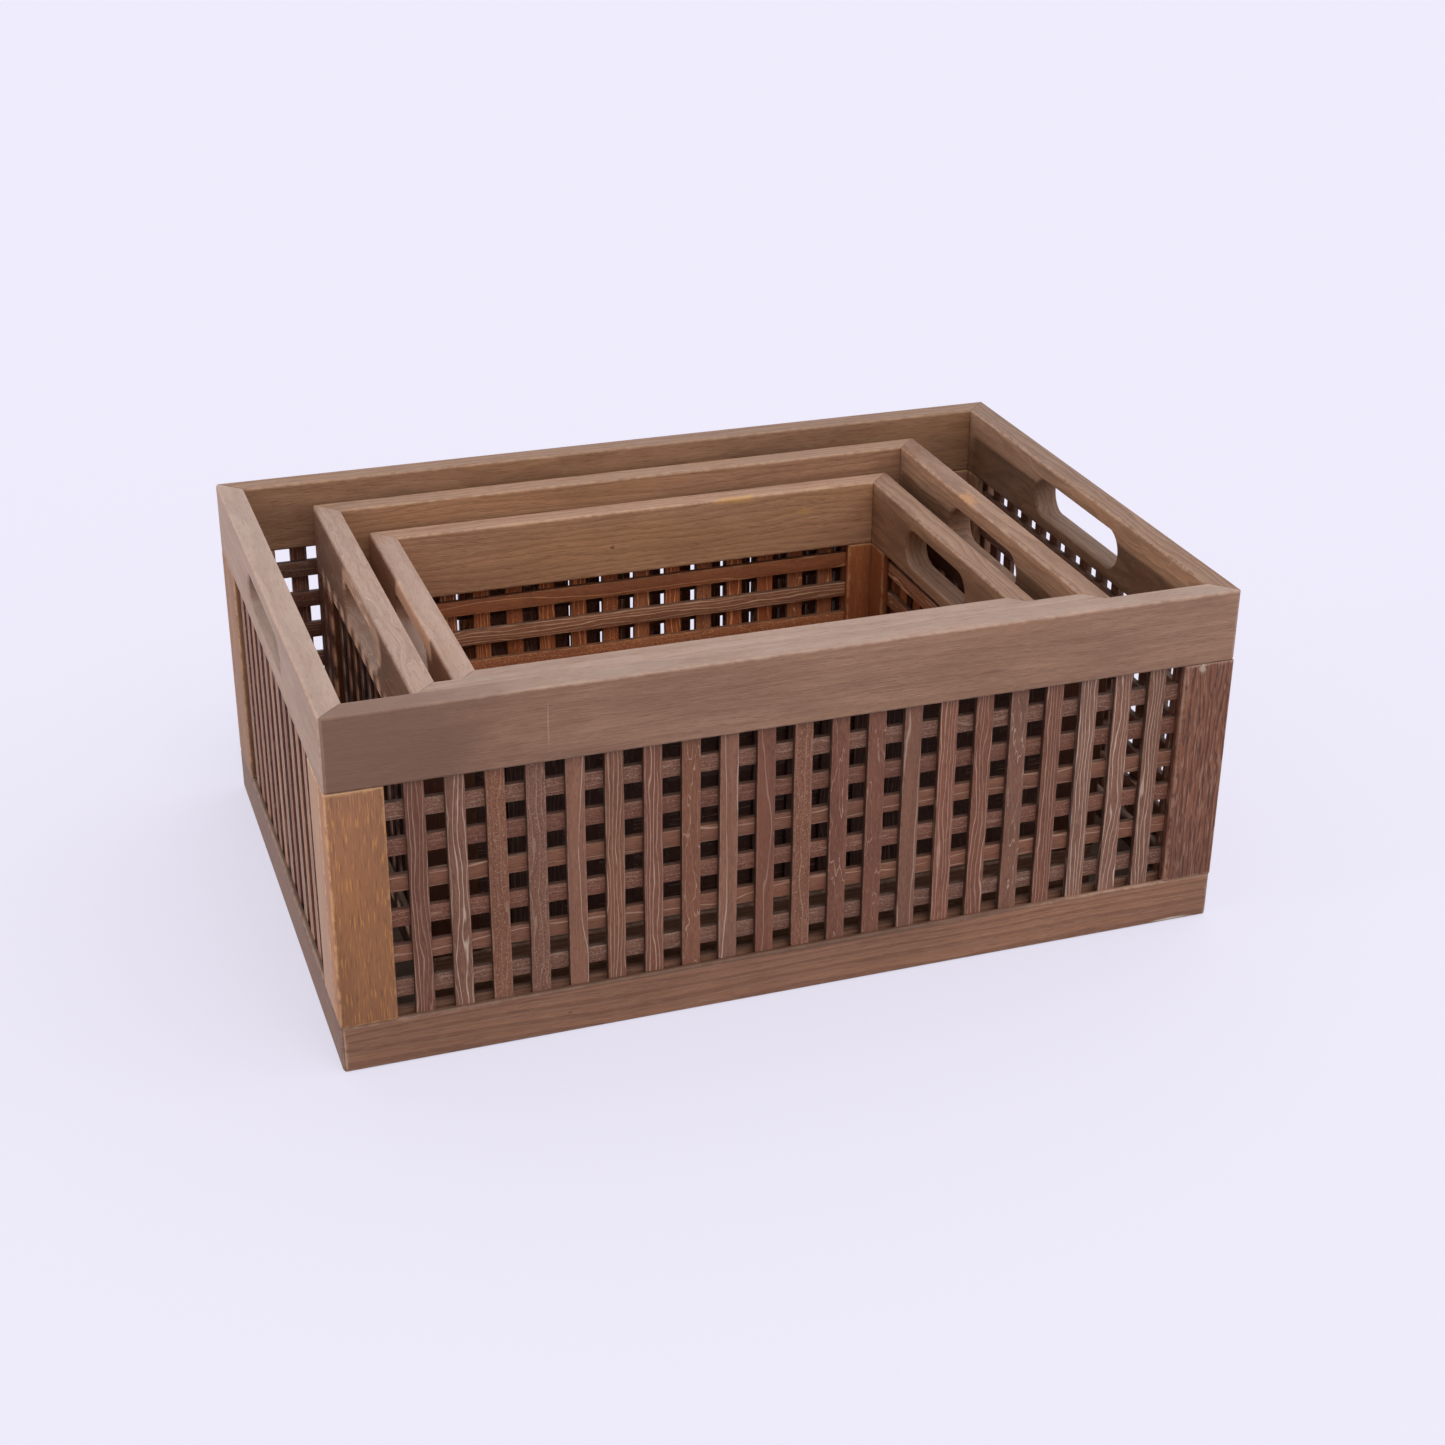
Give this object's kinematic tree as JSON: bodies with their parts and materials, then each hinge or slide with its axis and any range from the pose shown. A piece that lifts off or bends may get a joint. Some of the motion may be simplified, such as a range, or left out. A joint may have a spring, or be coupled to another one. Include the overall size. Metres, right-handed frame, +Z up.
{
  "type": "nesting crate set",
  "caption": "Slatted wooden crates that nest one inside another, each with a lattice wall, a mitred rim with two hand slots and a flat floor.",
  "frame": {"origin": "middle of the large crate's underside, where it rests on the floor", "axes": "+X along the large crate's long walls, to the right seen from the front; +Y to the back wall; +Z up, the way the inner crates lift out"},
  "size_m": [0.45, 0.3, 0.1823],
  "materials": {
    "rim_wood": "grey-brown stained, fine level grain, satin",
    "base_wood": "brown stained, fine level grain, satin",
    "post_wood": "golden brown, upright grain, satin",
    "post_red_wood": "reddish brown with dark open grain, satin",
    "slat_wood": "pinkish brown, each slat a little different, fine wavy grain",
    "bar_wood": "speckled brown, level grain",
    "floor_wood": "brown thin panel, level grain"
  },
  "bodies": {
    "large_crate": {"large_bars_long": "bar_wood", "large_bars_short": "bar_wood", "large_base_back": "base_wood", "large_base_front": "base_wood", "large_base_left": "base_wood", "large_base_right": "base_wood", "large_floor_panel": "floor_wood", "large_post_back_left": "post_wood", "large_post_back_right": "post_wood", "large_post_front_left": "post_wood", "large_post_front_right": "post_red_wood", "large_rim_back": "rim_wood", "large_rim_front": "rim_wood", "large_rim_left": "rim_wood", "large_rim_right": "rim_wood", "large_slats_back": "slat_wood", "large_slats_front": "slat_wood", "large_slats_left": "slat_wood", "large_slats_right": "slat_wood"},
    "middle_crate": {"middle_bars_long": "bar_wood", "middle_bars_short": "bar_wood", "middle_base_back": "base_wood", "middle_base_front": "base_wood", "middle_base_left": "base_wood", "middle_base_right": "base_wood", "middle_floor_panel": "floor_wood", "middle_post_back_left": "post_wood", "middle_post_back_right": "post_wood", "middle_post_front_left": "post_wood", "middle_post_front_right": "post_wood", "middle_rim_back": "rim_wood", "middle_rim_front": "rim_wood", "middle_rim_left": "rim_wood", "middle_rim_right": "rim_wood", "middle_slats_back": "slat_wood", "middle_slats_front": "slat_wood", "middle_slats_left": "slat_wood", "middle_slats_right": "slat_wood"},
    "small_crate": {"small_bars_long": "bar_wood", "small_bars_short": "bar_wood", "small_base_back": "base_wood", "small_base_front": "base_wood", "small_base_left": "base_wood", "small_base_right": "base_wood", "small_floor_panel": "floor_wood", "small_post_back_left": "post_wood", "small_post_back_right": "post_wood", "small_post_front_left": "post_wood", "small_post_front_right": "post_wood", "small_rim_back": "rim_wood", "small_rim_front": "rim_wood", "small_rim_left": "rim_wood", "small_rim_right": "rim_wood", "small_slats_back": "slat_wood", "small_slats_front": "slat_wood", "small_slats_left": "slat_wood", "small_slats_right": "slat_wood"}
  },
  "joints": [
    {"name": "middle_crate_lift", "type": "slide", "parent": "large_crate", "child": "middle_crate", "axis": [0, 0, 1], "range_m": [0, 0.18]},
    {"name": "small_crate_lift", "type": "slide", "parent": "middle_crate", "child": "small_crate", "axis": [0, 0, 1], "range_m": [0, 0.16]}
  ]
}
